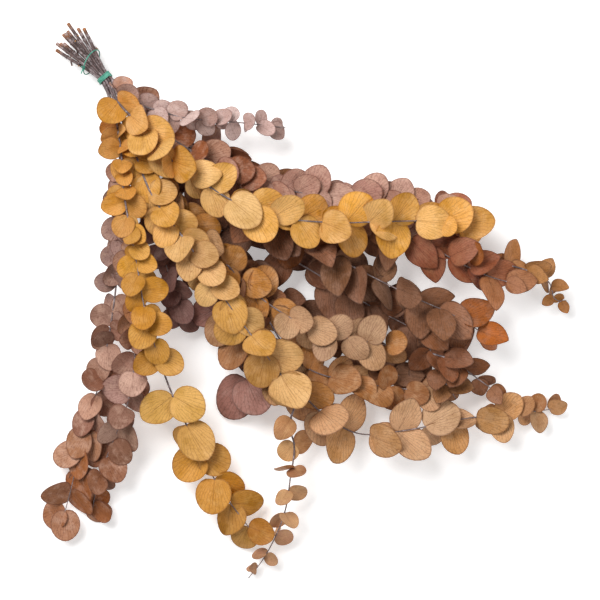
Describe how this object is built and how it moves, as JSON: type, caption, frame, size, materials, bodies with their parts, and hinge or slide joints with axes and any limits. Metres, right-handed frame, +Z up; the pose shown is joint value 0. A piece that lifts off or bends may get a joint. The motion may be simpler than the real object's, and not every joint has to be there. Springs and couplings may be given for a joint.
{
  "type": "bunch of dried eucalyptus",
  "caption": "Bunch of dried, dyed eucalyptus branches with round leaves, held by a green band near the cut ends and lying on its side.",
  "frame": {"origin": "middle of the bunch's box, on the surface that it lies on", "axes": "+X along the bunch from the cut ends to the tips, +Z up from the surface"},
  "size_m": [0.6864, 0.618, 0.1123],
  "materials": {
    "golden_leaf": "dyed, preserved leaf, matt",
    "deep_golden_leaf": "dyed, preserved leaf, matt",
    "pink_leaf": "preserved leaf with a pale bloom, matt",
    "tan_leaf": "dyed, preserved leaf, matt",
    "mauve_leaf": "preserved leaf with a pale bloom, matt",
    "brown_leaf": "dyed, preserved leaf, matt",
    "red_brown_leaf": "dyed, preserved leaf, matt",
    "dark_mauve_leaf": "preserved leaf with a pale bloom, matt",
    "green_elastic": "soft elastic, matt"
  },
  "bodies": {
    "root": {"golden_front_branch": "golden_leaf", "golden_inner_branch": "golden_leaf", "golden_left_branch": "deep_golden_leaf", "pink_branch": "pink_leaf", "tan_inner_branch": "tan_leaf", "mauve_back_branch": "mauve_leaf", "brown_long_branch": "brown_leaf", "brown_right_branch": "red_brown_leaf", "tan_low_branch": "tan_leaf", "mauve_left_branch": "mauve_leaf", "mauve_low_branch": "dark_mauve_leaf", "brown_deep_branch": "brown_leaf", "tie_band": "green_elastic", "tie_loop": "green_elastic"}
  },
  "joints": []
}
